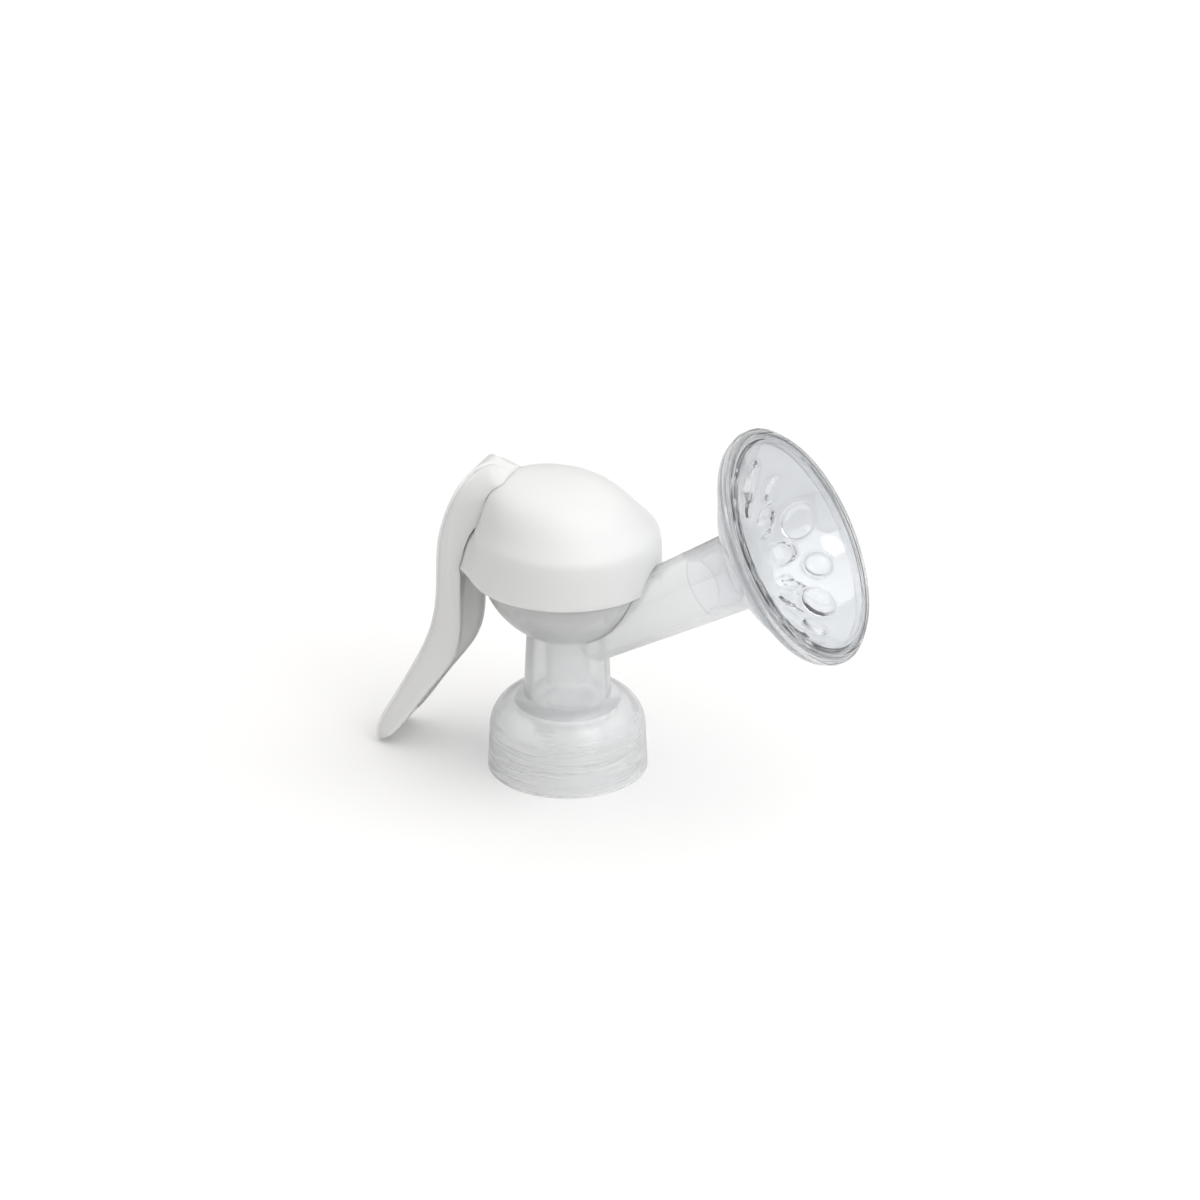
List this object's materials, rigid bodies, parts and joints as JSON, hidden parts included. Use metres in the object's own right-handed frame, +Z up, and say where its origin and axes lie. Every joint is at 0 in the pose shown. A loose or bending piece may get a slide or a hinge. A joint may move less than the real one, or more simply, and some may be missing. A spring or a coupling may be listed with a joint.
{
  "type": "manual breast pump",
  "caption": "Hand-operated breast pump: clear funnel with a silicone massage lining, white cover over a diaphragm, and a squeeze lever.",
  "frame": {"origin": "where the neck's axis meets the plane of the base skirt's open mouth, which is the plane the pump stands on", "axes": "+Z up along the neck, +X towards the funnel, XZ is the plane of symmetry and +Y completes a right-handed frame"},
  "size_m": [0.136, 0.0656, 0.1038],
  "materials": {
    "clear_body": "glossy, slightly milky clear polypropylene",
    "clear_silicone": "satin clear silicone",
    "valve_silicone": "satin translucent silicone",
    "diaphragm_silicone": "satin translucent silicone",
    "stem_white": "satin white polypropylene",
    "cover_white": "satin white polypropylene",
    "pin_steel": "ground steel",
    "handle_white": "satin white polypropylene"
  },
  "bodies": {
    "pump": {"pump_body": "clear_body", "massage_cushion": "clear_silicone", "duckbill_valve": "valve_silicone", "diaphragm": "diaphragm_silicone", "cover": "cover_white", "hinge_pin": "pin_steel"},
    "handle": {"handle": "handle_white"},
    "stem": {"diaphragm_stem": "stem_white", "stem_retainer": "stem_white"}
  },
  "joints": [
    {"name": "handle_squeeze", "type": "hinge", "parent": "pump", "child": "handle", "pos_m": [-0.0286, 0, 0.0605], "axis": [0, -1, 0], "range_deg": [0, 13], "stiffness_Nm_per_rad": 1.2},
    {"name": "stem_lift", "type": "slide", "parent": "pump", "child": "stem", "axis": [0, 0, 1], "range_m": [0, 0.007], "deforming": ["diaphragm"]}
  ],
  "couplings": [
    {"joint": "stem_lift", "follows": "handle_squeeze", "m_per_rad": 0.0272}
  ]
}
